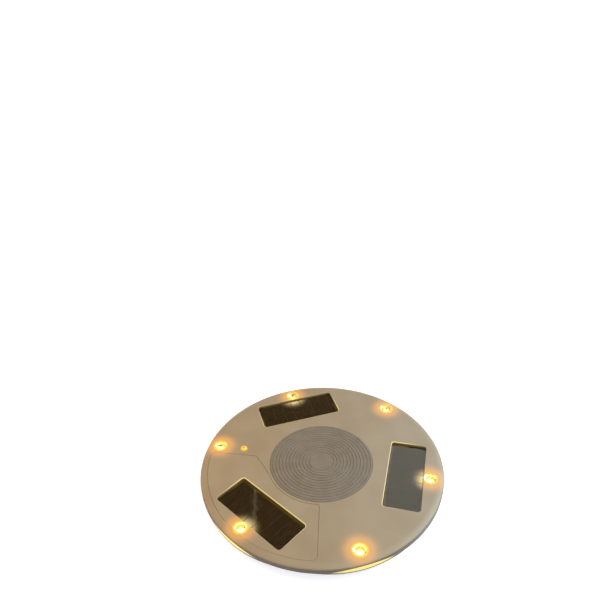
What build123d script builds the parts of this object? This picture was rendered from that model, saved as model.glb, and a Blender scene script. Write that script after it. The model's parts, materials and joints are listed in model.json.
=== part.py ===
from build123d import *
import os
from math import cos, radians, sin

# Solar-lit stand for a potted plant: a flat round disc with three sunk solar panels, a ring of lamp domes,
# a dusk sensor, a glowing rim and a battery bay with a hinged door underneath.
# Frame: millimetres, +Z up, origin on the ground at the disc's axis, the feet's undersides at z = 0.
# Azimuths are degrees anticlockwise from +X, seen from above.

os.makedirs("parts", exist_ok=True)

# ---------------------------------------------------------------- driving dimensions
RIM_RADIUS = 127.0
DECK_TOP = 24.0
RIM_DROP = 7.8                 # height of the rim band, from the deck down to the tray flange's underside
SHOULDER_RADIUS = 120.2        # where the flat deck ends and the shoulder starts to round down
COVER_THICKNESS = 2.0
PLATE_THICKNESS = 2.4          # general wall of the deck frame

PANEL_NAMES = {"rear": 90.0, "left": 210.0, "right": 330.0}
PANEL_RADIUS = 88.0            # from the axis to the middle of a panel
WINDOW_WIDTH = 37.0            # radial
WINDOW_LENGTH = 89.4           # tangential
WINDOW_CORNER = 3.2
WINDOW_CHAMFER = 0.4
PANEL_LAP = 0.6                # how far a panel reaches under the window's edge
PANEL_PLAY = 0.3               # room round a panel in its pocket
GASKET_THICKNESS = 0.6
GLASS_THICKNESS = 0.8
CELL_THICKNESS = 0.3
BACKING_THICKNESS = 1.6
POCKET_WALL = 1.6
LEDGE_WIDTH = 3.4
LEDGE_THICKNESS = 1.2

LAMP_RADIUS = 112.9            # from the axis to a lamp
LAMP_AZIMUTHS = [30.0 + 60.0 * step for step in range(6)]
LENS_RADIUS = 5.5              # of the barrel in the deck
LENS_DOME_RADIUS = 6.2         # of the dome that rests on the deck round the hole
LENS_DOME = 5.2                # how far a lens stands above the deck
LENS_PLAY = 0.1
LENS_HOLLOW = (3.0, 1.2, 1.6)  # low radius, high radius and height of the hollow below
CUP_RADIUS = 4.1
CUP_PLAY = 0.1
CUP_TOP_OPENING = 3.7
CUP_LOW_OPENING = 2.7
LED_SIDE = 3.4
LED_HEIGHT = 0.9
LED_DOME_RADIUS = 1.1
LED_DOME = 0.7
LAMP_BOARD_TOP = 17.4
LAMP_BOARD = (10.0, 12.0, 1.6)  # radial, tangential and thickness
LAMP_BOARD_CORNER = 0.8
CUP_WALL = 1.3                 # of the deck's sleeve round a cup
CUP_GAP = 0.2                  # between a cup and its lens

SENSOR_RADIUS = 86.1
SENSOR_AZIMUTH = 149.5
SENSOR_LENS_RADIUS = 4.0
SENSOR_DOME_RADIUS = 4.3
SENSOR_DOME = 2.6
SENSOR_CELL_RADIUS = 2.5
SENSOR_WALL = 1.6
SENSOR_TIP_RADIUS = 1.1        # the dark tip that reaches up into the lens
SENSOR_TIP_RISE = 0.6          # how far the tip ends above the deck
SENSOR_FLANGE = 1.0

COVER_START = 155.2            # azimuths of the sector cover's two straight sides
COVER_END = 250.4
COVER_INNER = 56.5
COVER_OUTER = 119.6
COVER_CORNER = 6.0
COVER_SMALL_CORNER = 2.5       # beside the pad, at the cover's end
COVER_BEVEL = [(40.0, 150.0), (74.0, 150.0), (70.0, 155.2), (56.0, 183.5)]  # radius, azimuth
COVER_EDGE = 0.25
SEAT_WIDTH = 2.0               # of the ledge round the cover
SEAM = 0.22
COVER_PEGS = [(74.0, 162.0), (62.0, 242.0), (110.0, 165.0), (112.0, 244.0)]  # radius, azimuth
PEG_RADIUS = 1.4
PEG_PLAY = 0.1

PAD_RADIUS = 54.0
PAD_PROUD = 0.4                # the pad's top above the deck
PAD_DEPTH = 1.4
PAD_PLAY = 0.2
PAD_EDGE = 0.35

SKIRT_INNER = 125.3
SLOT_HALF_LENGTH = 34.0        # each lamp has a slot in the rim, pointed at both ends
SLOT_DIP = 2.0                 # how far the middle of a slot dips below the top of the tray's flange
SLOT_FLOOR_RADIUS = 124.5      # how deep a slot is cut into the tray
SILL_THICKNESS = 1.0           # of the tray under a slot
SILL_END = 12.0                # how far the sill runs on past a slot's end
GUIDE_INNER = 121.2
GUIDE_OUTER = SKIRT_INNER - 0.2
GUIDE_FACE = RIM_RADIUS - 0.3  # the guide's lit faces in the slots
GUIDE_HEIGHT = 3.5
GUIDE_PLAY = 0.1               # between a lit face and the edges of its slot
GUIDE_END_PLAY = 1.2           # the same at the pointed ends
DECK_RIB_THICKNESS = 1.6       # of the ring that locates the deck frame in the tray

TRAY_LOW_RADIUS = 112.0
TRAY_HIGH_RADIUS = 124.0
FLANGE_RADIUS = 126.6
FLANGE_THICKNESS = 1.0
FOOT_HEIGHT = 1.5              # the tray's underside above the ground
FLOOR_THICKNESS = 2.4

FOOT_RADIUS = 7.0
FOOT_RING = 98.0
FOOT_SEAT = 0.8
FOOT_EDGE = 0.4

SCREW_RING = 104.0
SCREW_AZIMUTHS = [60.0 * step for step in range(6)]
BOSS_JOIN = 9.0                # height at which the tray's and the deck frame's bosses meet
DECK_BOSS_RADIUS = 3.8
TRAY_BOSS_RADIUS = 4.6
DECK_SPOKE = (0.8, 15.0)       # half width and lowest height of the ribs under the deck
SCREW_PILOT = (1.3, 17.0)      # radius and top of the hole that a case screw bites in
SCREW_HEAD_RADIUS = 2.8
SCREW_HEAD_ROOM = 3.2
SCREW_HEAD = (3.4, 5.5)        # lowest and highest height of a case screw's head
SCREW_SHANK_RADIUS = 1.25
SCREW_SHANK_ROOM = 1.7
SCREW_TOP = 16.0

BAY_LENGTH = 62.0
BAY_WIDTH = 33.2
BAY_WALL = 1.6
BAY_WALL_TOP = 12.0
CELL_RADIUS = 7.1
CELL_LENGTH = 50.5
CELL_SPACING = 15.5
CELL_AXIS = 11.85
CELL_BACK = -24.4              # the flat end of a cell, in the cell's own direction
CELL_NUB = 1.3
CELL_NUB_RADIUS = 2.7
CELL_PLAY = 0.3
CAVITY_BACK = -28.4
CAVITY_FRONT = CELL_BACK + CELL_LENGTH + 0.5
CELL_PLACES = {1: (1, CELL_SPACING / 2), -1: (2, -CELL_SPACING / 2)}  # by direction: number and Y
CRADLE_HEIGHTS = (4.6, 17.5)
CRADLE_PLAY = 0.2
CONTACT_THICKNESS = 0.5
SPRING_PLATE = 5.0             # half the side of a spring's backing plate
CONTACT_PLATE = 4.5
COIL_WIRE = 0.45
COIL_RADIUS = 3.6              # of the widest turn
COIL_TAPER = 0.3               # by which each next turn is smaller
COIL_PITCH = 0.8
COIL_TURNS = 4

HINGE_Y = 18.6
HINGE_Z = 2.75
BARREL_RADIUS = 1.25
GROOVE_RADIUS = 1.55
PIN_RADIUS = 0.75
DOOR_LENGTH = 66.0
DOOR_THICKNESS = 1.3
DOOR_FAR_EDGE = -19.0
DOOR_PLAY = 0.3
TAB_WIDTH = 12.0
TAB_END = -27.0
TAB_THICKNESS = 2.6
TAB_BLOCK = 8.5                # half the width of the tray's block behind the tab
DOOR_SCREW_Y = -23.0
DOOR_SCREW_HEAD = (2.6, 0.4, 1.6)  # radius, and the head's limits above the door's underside
DOOR_SCREW_TOP = 6.4
DOOR_RIM_HEIGHT = 1.4
DOOR_RIM_GAP = 1.0             # between the bay's walls and the door's locating rim
DOOR_RIM_THICKNESS = 1.2
DOOR_RIM_CORNER = 1.5
GRIP_START = -14.0             # the grip grooves in the door's underside
GRIP_STEP = 1.6
GRIP_WIDTH = 0.8
GRIP_DEPTH = 0.4
GRIP_HALF_LENGTH = 9.0
SEAL_GAP = 0.3
SEAL_HEIGHT = 1.0
HINGE_BLOCK = (4.0, 3.4, 3.0)  # how far the tray's hinge block reaches past the door, the pin and its height
PIN_REACH = 3.0                # of the hinge pin into the tray at each end

BOARD_CENTRE_Y = -44.5
BOARD_LENGTH = 52.0
BOARD_WIDTH = 25.0
BOARD_BOTTOM = 9.0
BOARD_THICKNESS = 1.6
POST_X = 22.5
POST_Y = 9.0                   # from the board's middle line
POST_RADIUS = 2.6
POST_PILOT = 0.9
BOARD_HOLE = 1.2
BOARD_CORNER = 1.5
BOARD_TOP = BOARD_BOTTOM + BOARD_THICKNESS
BOARD_SCREW = (2.0, 1.3, 0.85, 5.4)  # head radius and height, shank radius and tip height
CHIP = (8.0, 6.0, 1.6, -9.0)   # length, width, height and X
COIL_CORE = (4.0, 3.4, 4.0, 1.0)  # flange radius, waist radius, height and flange thickness
COIL_CORE_PLACE = (5.0, 4.0)   # X, and Y from the board's middle line
CAN = (3.0, 7.0, 0.6)          # radius, height and rounding
CAN_PLACE = (14.0, -5.0)

SWITCH_TRAVEL = 4.0
KNOB_LENGTH = 4.0
KNOB_WIDTH = 3.0
KNOB_BOTTOM = 1.0
KNOB_GROOVES = (-1.2, 0.0, 1.2)
SLIDER_FLANGE = (3.6, 2.8, 4.2, 5.1)  # half length, half width, low and high
STEM = (1.2, 1.0, 7.6)         # half length, half width and top
SWITCH_SHELL = (6.5, 3.5, 5.4)  # half length, half width and low
SWITCH_ROOM = (5.4, 1.3, 8.0)  # half length, half width and top

LOOM_RADIUS = 92.0             # of the ring in which the loom runs round
LOOM_THICKNESS = 1.2           # radius of the bundled leads
LOOM_CLEARANCE = 0.1
RISER_RADIUS = 0.9
LEAD_RADIUS = 0.65
BRANCH_HEIGHT = 13.5           # of the leads from the risers to the lamps

# ---------------------------------------------------------------- heights worked out from the above
COVER_SEAT = DECK_TOP - COVER_THICKNESS
PLATE_BOTTOM = DECK_TOP - PLATE_THICKNESS
FLANGE_BOTTOM = DECK_TOP - RIM_DROP
FLANGE_TOP = FLANGE_BOTTOM + FLANGE_THICKNESS
GUIDE_TOP = FLANGE_TOP + GUIDE_HEIGHT
SEAT_BOTTOM = COVER_SEAT - PLATE_THICKNESS
PAD_SEAT = DECK_TOP - PAD_DEPTH
FLOOR_BOTTOM = FOOT_HEIGHT
FLOOR_TOP = FLOOR_BOTTOM + FLOOR_THICKNESS
GASKET_BOTTOM = COVER_SEAT - GASKET_THICKNESS
GLASS_BOTTOM = GASKET_BOTTOM - GLASS_THICKNESS
CELLS_BOTTOM = GLASS_BOTTOM - CELL_THICKNESS
BACKING_BOTTOM = CELLS_BOTTOM - BACKING_THICKNESS
LEDGE_BOTTOM = BACKING_BOTTOM - LEDGE_THICKNESS
PANEL_WIDTH = WINDOW_WIDTH + 2 * PANEL_LAP
PANEL_LENGTH = WINDOW_LENGTH + 2 * PANEL_LAP
SENSOR_CELL_BOTTOM = LAMP_BOARD_TOP - 0.4

UP = (Align.CENTER, Align.CENTER, Align.MIN)


# ---------------------------------------------------------------- small helpers
def disc(radius, low, high):
    """A round plate between two heights."""
    return Pos(0, 0, low) * Cylinder(radius, high - low, align=UP)


def ring(outer, inner, low, high):
    """A flat ring between two heights."""
    return disc(outer, low, high) - disc(inner, low - 1, high + 1)


def block(x_low, x_high, y_low, y_high, low, high):
    """A plain block given by its limits."""
    size = (x_high - x_low, y_high - y_low, high - low)
    middle = ((x_low + x_high) / 2, (y_low + y_high) / 2, low)
    return Pos(*middle) * Box(*size, align=UP)


def plate(x_size, y_size, low, high, corner):
    """A flat plate with rounded corners, centred on the axis."""
    return Pos(0, 0, low) * extrude(RectangleRounded(x_size, y_size, corner), high - low)


def polar(radius, azimuth):
    """A place out on a ray of the disc, with local X pointing outwards."""
    return Rot(0, 0, azimuth) * Pos(radius, 0, 0)


def dome(radius, height, base):
    """A spherical cap standing on a plane."""
    ball = (radius**2 + height**2) / (2 * height)
    cap = Pos(0, 0, base + height - ball) * Sphere(ball)
    return cap & disc(radius + 1, base, base + height + 1)


def lying_rod(radius, x_low, x_high, y, z):
    """A round bar along X."""
    bar = Cylinder(radius, x_high - x_low, align=UP)
    return Pos(x_low, y, z) * Rot(0, 90, 0) * bar


def revolved(points):
    """A solid turned about Z from an outline of (radius, height) points."""
    outline = Polyline(*points, close=True)
    return revolve(Plane.XZ * make_face(outline), Axis.Z)


def save(node, shape):
    """Write one sub-part to its own file."""
    export_step(shape, f"parts/{node}.step")


def cross_slot(top, length, width, depth):
    """The two crossing slots in a screw head that faces down."""
    return block(-length / 2, length / 2, -width / 2, width / 2, top, top + depth) + block(
        -width / 2, width / 2, -length / 2, length / 2, top, top + depth
    )


def flat_point(radius, azimuth):
    """The X and Y of a place given by radius and azimuth."""
    return (radius * cos(radians(azimuth)), radius * sin(radians(azimuth)))


def sector(outer, inner, start, end):
    """A flat sector of a ring between two azimuths."""
    rays = [flat_point(3 * outer, azimuth) for azimuth in (start, (start + end) / 2, end)]
    wedge = make_face(Polyline((0, 0), *rays, close=True))
    return (Circle(outer) - Circle(inner)) & wedge


def rim_lens(half_length, middle, top, bottom):
    """A shape with two curved edges that meet at both ends, pushed outward through the rim at azimuth 0."""
    ends = (-half_length, middle), (half_length, middle)
    upper = ThreePointArc(ends[0], (0, top), ends[1])
    lower = ThreePointArc(ends[0], (0, bottom), ends[1])
    face = make_face([upper, lower])
    return extrude(Plane.YZ.offset(RIM_RADIUS - 20) * face, 30)


def rim_slot():
    """The slot in the rim beside a lamp."""
    return rim_lens(SLOT_HALF_LENGTH, FLANGE_TOP, GUIDE_TOP, FLANGE_TOP - SLOT_DIP)


def rim_sill():
    """The part of the tray that carries a slot's lower edge."""
    low = FLANGE_TOP - SLOT_DIP - SILL_THICKNESS
    middle = FLANGE_BOTTOM + 0.4
    sill = rim_lens(SLOT_HALF_LENGTH + SILL_END, middle, middle + 0.3, low)
    return sill & ring(FLANGE_RADIUS - 0.1, GUIDE_INNER + 0.6, low - 1, FLANGE_TOP)


# ---------------------------------------------------------------- deck
def cover_outline():
    """The seat of the cover plate: a sector with one bevelled inner corner, and rounded corners."""
    seat = sector(COVER_OUTER, COVER_INNER, COVER_START, COVER_END)
    seat -= make_face(Polyline(*[flat_point(*place) for place in COVER_BEVEL], close=True))
    seat = fillet(seat.vertices().sort_by(Axis.X)[:-1], COVER_CORNER)
    return fillet(seat.vertices().sort_by(Axis.X)[-1], COVER_SMALL_CORNER)


def deck_shell():
    """The turned part of the deck frame: flat plate, rounded shoulder, rim skirt and locating rib."""
    rib_outer = GUIDE_INNER - 0.2
    rib_inner = rib_outer - DECK_RIB_THICKNESS
    shoulder = TangentArc((SHOULDER_RADIUS, DECK_TOP), (RIM_RADIUS - 0.7, DECK_TOP - 2.1), tangent=(1, 0))
    edge = TangentArc(shoulder @ 1, (RIM_RADIUS, DECK_TOP - 3.1), tangent=shoulder % 1)
    rest = Polyline(
        edge @ 1,
        (RIM_RADIUS, FLANGE_TOP),
        (SKIRT_INNER, FLANGE_TOP),
        (SKIRT_INNER, GUIDE_TOP),
        (rib_outer, GUIDE_TOP),
        (rib_outer, FLANGE_BOTTOM + 0.6),
        (rib_inner, FLANGE_BOTTOM + 0.6),
        (rib_inner, PLATE_BOTTOM),
        (0, PLATE_BOTTOM),
        (0, DECK_TOP),
        (SHOULDER_RADIUS, DECK_TOP),
    )
    outline = shoulder + edge + rest
    return revolve(Plane.XZ * make_face(outline.edges()), Axis.Z)


def window_cut():
    """The opening over a panel, with a small chamfer round its upper edge."""
    opening = plate(WINDOW_WIDTH, WINDOW_LENGTH, COVER_SEAT - 1, DECK_TOP + 1, WINDOW_CORNER)
    edge = RectangleRounded(WINDOW_WIDTH, WINDOW_LENGTH, WINDOW_CORNER)
    flare = Pos(0, 0, DECK_TOP - WINDOW_CHAMFER) * extrude(edge, WINDOW_CHAMFER, taper=-45)
    return opening + flare


def panel_pocket():
    """The walls that hold a panel under the deck."""
    wall = 2 * (PANEL_PLAY + POCKET_WALL)
    return plate(PANEL_WIDTH + wall, PANEL_LENGTH + wall, LEDGE_BOTTOM, COVER_SEAT, WINDOW_CORNER)


def panel_pocket_cut():
    """The room for a panel and the opening in the ledge below it."""
    play = 2 * PANEL_PLAY
    room = plate(PANEL_WIDTH + play, PANEL_LENGTH + play, BACKING_BOTTOM, COVER_SEAT, 1.0)
    width = PANEL_WIDTH - 2 * LEDGE_WIDTH
    length = PANEL_LENGTH - 2 * LEDGE_WIDTH
    return room + plate(width, length, LEDGE_BOTTOM - 4, BACKING_BOTTOM, 2.0)


def deck_frame():
    """The one-piece top casing."""
    frame = deck_shell()
    frame += disc(PAD_RADIUS + 3, SEAT_BOTTOM, PAD_SEAT)
    seat = offset(cover_outline(), SEAT_WIDTH) & Circle(GUIDE_INNER - 0.5)
    frame += Pos(0, 0, SEAT_BOTTOM) * extrude(seat, COVER_SEAT - SEAT_BOTTOM)
    half, low = DECK_SPOKE
    for azimuth in SCREW_AZIMUTHS:
        spoke = block(PAD_RADIUS, SHOULDER_RADIUS - 0.5, -half, half, low, COVER_SEAT)
        boss = Pos(SCREW_RING, 0, 0) * disc(DECK_BOSS_RADIUS, BOSS_JOIN, COVER_SEAT)
        frame += Rot(0, 0, azimuth) * (spoke + boss)
    for azimuth in PANEL_NAMES.values():
        frame += polar(PANEL_RADIUS, azimuth) * panel_pocket()
    for azimuth in LAMP_AZIMUTHS:
        frame += polar(LAMP_RADIUS, azimuth) * disc(CUP_RADIUS + CUP_WALL, LAMP_BOARD_TOP, COVER_SEAT)
    sleeve = disc(SENSOR_CELL_RADIUS + SENSOR_WALL, LAMP_BOARD_TOP, COVER_SEAT)
    frame += polar(SENSOR_RADIUS, SENSOR_AZIMUTH) * sleeve
    return frame - deck_openings()


def deck_openings():
    """Everything that is cut out of the deck frame."""
    cuts = disc(PAD_RADIUS + PAD_PLAY, PAD_SEAT, DECK_TOP + 1)
    cuts += Pos(0, 0, COVER_SEAT) * extrude(cover_outline(), COVER_THICKNESS + 1)
    for azimuth in PANEL_NAMES.values():
        cuts += polar(PANEL_RADIUS, azimuth) * (window_cut() + panel_pocket_cut())
    slot = rim_slot() & ring(RIM_RADIUS + 1, SKIRT_INNER - 0.5, FLANGE_TOP - 1, GUIDE_TOP)
    for azimuth in LAMP_AZIMUTHS:
        lens_hole = disc(LENS_RADIUS + LENS_PLAY, COVER_SEAT, DECK_TOP + 1)
        cup_hole = disc(CUP_RADIUS + CUP_PLAY, LAMP_BOARD_TOP - 1, COVER_SEAT)
        cuts += polar(LAMP_RADIUS, azimuth) * (lens_hole + cup_hole)
        cuts += Rot(0, 0, azimuth) * slot
    lens_hole = disc(SENSOR_LENS_RADIUS + LENS_PLAY, COVER_SEAT, DECK_TOP + 1)
    cell_hole = disc(SENSOR_CELL_RADIUS + LENS_PLAY, LAMP_BOARD_TOP - 1, COVER_SEAT)
    cuts += polar(SENSOR_RADIUS, SENSOR_AZIMUTH) * (lens_hole + cell_hole)
    pilot_radius, pilot_top = SCREW_PILOT
    for azimuth in SCREW_AZIMUTHS:
        cuts += polar(SCREW_RING, azimuth) * disc(pilot_radius, BOSS_JOIN - 1, pilot_top)
    for radius, azimuth in COVER_PEGS:
        cuts += polar(radius, azimuth) * disc(PEG_RADIUS + PEG_PLAY, SEAT_BOTTOM - 1, COVER_SEAT)
    return cuts


def sector_cover():
    """The cover plate let into the deck, with its window, lamp hole and snap pegs."""
    outline = offset(cover_outline(), -SEAM)
    cover = Pos(0, 0, COVER_SEAT) * extrude(outline, COVER_THICKNESS)
    cover = chamfer(cover.faces().sort_by(Axis.Z)[-1].edges(), COVER_EDGE)
    cover -= polar(PANEL_RADIUS, PANEL_NAMES["left"]) * window_cut()
    lens_hole = disc(LENS_RADIUS + LENS_PLAY, COVER_SEAT - 1, DECK_TOP + 1)
    cover -= polar(LAMP_RADIUS, PANEL_NAMES["left"]) * lens_hole
    for radius, azimuth in COVER_PEGS:
        cover += polar(radius, azimuth) * disc(PEG_RADIUS, SEAT_BOTTOM + 0.3, COVER_SEAT)
    return cover


def pot_rest_pad():
    """The anti-slip pad under the pot, with a softened edge."""
    pad = disc(PAD_RADIUS, PAD_SEAT, DECK_TOP + PAD_PROUD)
    return fillet(pad.edges().sort_by(Axis.Z)[-1], PAD_EDGE)


def light_guide_ring():
    """The translucent ring behind the rim skirt, with a raised face in each of the skirt's slots."""
    guide = ring(GUIDE_OUTER, GUIDE_INNER, FLANGE_TOP, GUIDE_TOP)
    half_length = SLOT_HALF_LENGTH - GUIDE_END_PLAY
    bottom = FLANGE_TOP - SLOT_DIP + GUIDE_PLAY
    face = rim_lens(half_length, FLANGE_TOP, GUIDE_TOP - GUIDE_PLAY, bottom)
    face &= ring(GUIDE_FACE, SLOT_FLOOR_RADIUS + GUIDE_PLAY, bottom - 1, GUIDE_TOP)
    for azimuth in LAMP_AZIMUTHS:
        guide += Rot(0, 0, azimuth) * face
    return guide


# ---------------------------------------------------------------- panels
def panel_layer(low, high, trim):
    """One flat layer of a panel, smaller than the panel all round by trim."""
    return plate(PANEL_WIDTH - 2 * trim, PANEL_LENGTH - 2 * trim, low, high, 1.0)


def panel_gasket():
    """The soft rubber frame between a panel and the underside of the deck."""
    play = 2 * (PANEL_PLAY - 0.05)
    outer = plate(PANEL_WIDTH + play, PANEL_LENGTH + play, GASKET_BOTTOM, COVER_SEAT, 1.0)
    inner = plate(WINDOW_WIDTH, WINDOW_LENGTH, GASKET_BOTTOM - 1, COVER_SEAT + 1, WINDOW_CORNER)
    return outer - inner


def save_panels():
    """The three solar panels, each as gasket, glass, cells and backing board."""
    for name, azimuth in PANEL_NAMES.items():
        place = polar(PANEL_RADIUS, azimuth)
        save(f"panel_gasket_{name}", place * panel_gasket())
        save(f"panel_glass_{name}", place * panel_layer(GLASS_BOTTOM, GASKET_BOTTOM, 0.0))
        save(f"panel_cells_{name}", place * panel_layer(CELLS_BOTTOM, GLASS_BOTTOM, 0.8))
        save(f"panel_board_{name}", place * panel_layer(BACKING_BOTTOM, CELLS_BOTTOM, 0.0))


# ---------------------------------------------------------------- lamps and sensor
def lamp_lens():
    """A clear lens: a short barrel with a wider, full dome, hollowed a little from below."""
    barrel = disc(LENS_RADIUS, COVER_SEAT, DECK_TOP)
    hollow = Pos(0, 0, COVER_SEAT) * Cone(*LENS_HOLLOW, align=UP)
    return barrel + dome(LENS_DOME_RADIUS, LENS_DOME, DECK_TOP) - hollow


def lamp_reflector():
    """A white cup that flares upwards from the light-emitting diode to the lens."""
    top = COVER_SEAT - CUP_GAP
    height = top - LAMP_BOARD_TOP
    flare = Pos(0, 0, LAMP_BOARD_TOP) * Cone(CUP_LOW_OPENING, CUP_TOP_OPENING, height, align=UP)
    return disc(CUP_RADIUS, LAMP_BOARD_TOP, top) - flare


def lamp_led():
    """The diode package with its small clear dome."""
    top = LAMP_BOARD_TOP + LED_HEIGHT
    package = Pos(0, 0, LAMP_BOARD_TOP) * Box(LED_SIDE, LED_SIDE, LED_HEIGHT, align=UP)
    return package + dome(LED_DOME_RADIUS, LED_DOME, top)


def lamp_boards():
    """The six small boards that carry the diodes."""
    depth, width, thickness = LAMP_BOARD
    board = plate(depth, width, LAMP_BOARD_TOP - thickness, LAMP_BOARD_TOP, LAMP_BOARD_CORNER)
    return Compound(children=[polar(LAMP_RADIUS, azimuth) * board for azimuth in LAMP_AZIMUTHS])


def save_lamps():
    """Lens, cup and diode of each lamp, numbered anticlockwise."""
    for number, azimuth in enumerate(LAMP_AZIMUTHS, start=1):
        place = polar(LAMP_RADIUS, azimuth)
        save(f"lamp_lens_{number}", place * lamp_lens())
        save(f"lamp_reflector_{number}", place * lamp_reflector())
        save(f"lamp_led_{number}", place * lamp_led())
    save("lamp_boards", lamp_boards())


def sensor_lens():
    """The small dome over the dusk sensor."""
    barrel = disc(SENSOR_LENS_RADIUS, COVER_SEAT, DECK_TOP)
    socket_top = DECK_TOP + SENSOR_TIP_RISE + LENS_PLAY
    socket = disc(SENSOR_TIP_RADIUS + LENS_PLAY, COVER_SEAT - 1, socket_top)
    lens = barrel + dome(SENSOR_DOME_RADIUS, SENSOR_DOME, DECK_TOP) - socket
    return polar(SENSOR_RADIUS, SENSOR_AZIMUTH) * lens


def sensor_cell():
    """The light-sensitive element, a small can with a flange below and a dark tip above."""
    body = disc(SENSOR_CELL_RADIUS - 0.2, SENSOR_CELL_BOTTOM, COVER_SEAT - 0.1)
    flange = disc(SENSOR_CELL_RADIUS, SENSOR_CELL_BOTTOM, SENSOR_CELL_BOTTOM + SENSOR_FLANGE)
    tip = disc(SENSOR_TIP_RADIUS, SENSOR_CELL_BOTTOM, DECK_TOP + SENSOR_TIP_RISE)
    return polar(SENSOR_RADIUS, SENSOR_AZIMUTH) * (body + flange + tip)


# ---------------------------------------------------------------- base tray
def tray_shell():
    """The turned part of the tray: floor, sloping wall and rim flange."""
    wall_bend = FLANGE_BOTTOM - 1.2
    inner_low = TRAY_LOW_RADIUS - 2.1
    inner_high = GUIDE_INNER + 0.1
    return revolved(
        [
            (0, FLOOR_BOTTOM),
            (TRAY_LOW_RADIUS - 1.2, FLOOR_BOTTOM),
            (TRAY_LOW_RADIUS + 0.4, FLOOR_BOTTOM + 1.2),
            (TRAY_HIGH_RADIUS, FLANGE_BOTTOM),
            (FLANGE_RADIUS - 0.3, FLANGE_BOTTOM),
            (FLANGE_RADIUS, FLANGE_BOTTOM + 0.3),
            (FLANGE_RADIUS, FLANGE_TOP),
            (inner_high, FLANGE_TOP),
            (inner_high, wall_bend),
            (inner_low, FLOOR_TOP),
            (0, FLOOR_TOP),
        ]
    )


def door_recess():
    """The room for the door in the tray's floor: plate, hinge groove and screw tab."""
    half = DOOR_LENGTH / 2 + DOOR_PLAY
    low = FLOOR_BOTTOM - 1
    ceiling = FLOOR_BOTTOM + DOOR_THICKNESS + 0.1
    recess = block(-half, half, DOOR_FAR_EDGE - DOOR_PLAY, HINGE_Y, low, ceiling)
    recess += block(-half, half, HINGE_Y - GROOVE_RADIUS, HINGE_Y + GROOVE_RADIUS, low, HINGE_Z)
    recess += lying_rod(GROOVE_RADIUS, -half, half, HINGE_Y, HINGE_Z)
    tab = TAB_WIDTH / 2 + DOOR_PLAY
    recess += block(-tab, tab, TAB_END - DOOR_PLAY, DOOR_FAR_EDGE, low, FLOOR_BOTTOM + TAB_THICKNESS + 0.3)
    return recess


def board_posts():
    """The places of the four posts under the control board."""
    return [Pos(x, BOARD_CENTRE_Y + y, 0) for x in (-POST_X, POST_X) for y in (-POST_Y, POST_Y)]


def base_tray():
    """The lower casing with its bosses, posts, battery bay and recesses."""
    tray = tray_shell()
    bay_x = BAY_LENGTH / 2
    bay_y = BAY_WIDTH / 2
    wall_x = bay_x + BAY_WALL
    wall_y = bay_y + BAY_WALL
    tray += block(-wall_x, wall_x, -wall_y, wall_y, FLOOR_BOTTOM, BAY_WALL_TOP)
    past_door, past_pin, above_pin = HINGE_BLOCK
    hinge_x = DOOR_LENGTH / 2 + past_door
    tray += block(-hinge_x, hinge_x, bay_y, HINGE_Y + past_pin, FLOOR_BOTTOM, HINGE_Z + above_pin)
    tray += block(-TAB_BLOCK, TAB_BLOCK, TAB_END - 2, -bay_y, FLOOR_BOTTOM, BOSS_JOIN)
    for azimuth in SCREW_AZIMUTHS:
        tray += polar(SCREW_RING, azimuth) * disc(TRAY_BOSS_RADIUS, FLOOR_BOTTOM, BOSS_JOIN)
    for place in board_posts():
        tray += place * disc(POST_RADIUS, FLOOR_BOTTOM, BOARD_BOTTOM)
    for azimuth in LAMP_AZIMUTHS:
        tray += Rot(0, 0, azimuth) * rim_sill()
    return tray - tray_openings()


def tray_openings():
    """Everything that is cut out of the tray."""
    bay_x = BAY_LENGTH / 2
    bay_y = BAY_WIDTH / 2
    cuts = door_recess()
    cuts += block(-bay_x, bay_x, -bay_y, bay_y, FLOOR_BOTTOM - 1, BAY_WALL_TOP + 1)
    pin_end = DOOR_LENGTH / 2 + PIN_REACH + 0.1
    cuts += lying_rod(PIN_RADIUS + 0.05, -pin_end, pin_end, HINGE_Y, HINGE_Z)
    cuts += Pos(0, DOOR_SCREW_Y, 0) * disc(SCREW_SHANK_RADIUS + 0.3, FLOOR_TOP, BOSS_JOIN - 1)
    screw_hole = disc(SCREW_HEAD_ROOM, FLOOR_BOTTOM - 1, SCREW_HEAD[1])
    screw_hole += disc(SCREW_SHANK_ROOM, SCREW_HEAD[1] - 0.1, BOSS_JOIN + 1)
    for azimuth in SCREW_AZIMUTHS:
        cuts += polar(SCREW_RING, azimuth) * screw_hole
    foot_hole = disc(FOOT_RADIUS + 0.1, FLOOR_BOTTOM - 1, FLOOR_BOTTOM + FOOT_SEAT)
    slot = rim_slot() & ring(RIM_RADIUS + 1, SLOT_FLOOR_RADIUS, FLANGE_BOTTOM - SLOT_DIP, FLANGE_TOP)
    for azimuth in LAMP_AZIMUTHS:
        cuts += polar(FOOT_RING, azimuth) * foot_hole
        cuts += Rot(0, 0, azimuth) * slot
    for place in board_posts():
        cuts += place * disc(POST_PILOT, FLOOR_TOP + 0.6, BOARD_BOTTOM + 1)
    slot = (KNOB_LENGTH + SWITCH_TRAVEL) / 2 + 0.5
    side = KNOB_WIDTH / 2 + 0.3
    cuts += Pos(0, BOARD_CENTRE_Y, 0) * block(-slot, slot, -side, side, FLOOR_BOTTOM - 1, FLOOR_TOP + 1)
    return cuts


def rubber_feet():
    """Six feet let into the tray's underside, with a softened lower edge."""
    foot = disc(FOOT_RADIUS, 0, FLOOR_BOTTOM + FOOT_SEAT)
    foot = chamfer(foot.edges().sort_by(Axis.Z)[0], FOOT_EDGE)
    return Compound(children=[polar(FOOT_RING, azimuth) * foot for azimuth in LAMP_AZIMUTHS])


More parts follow.
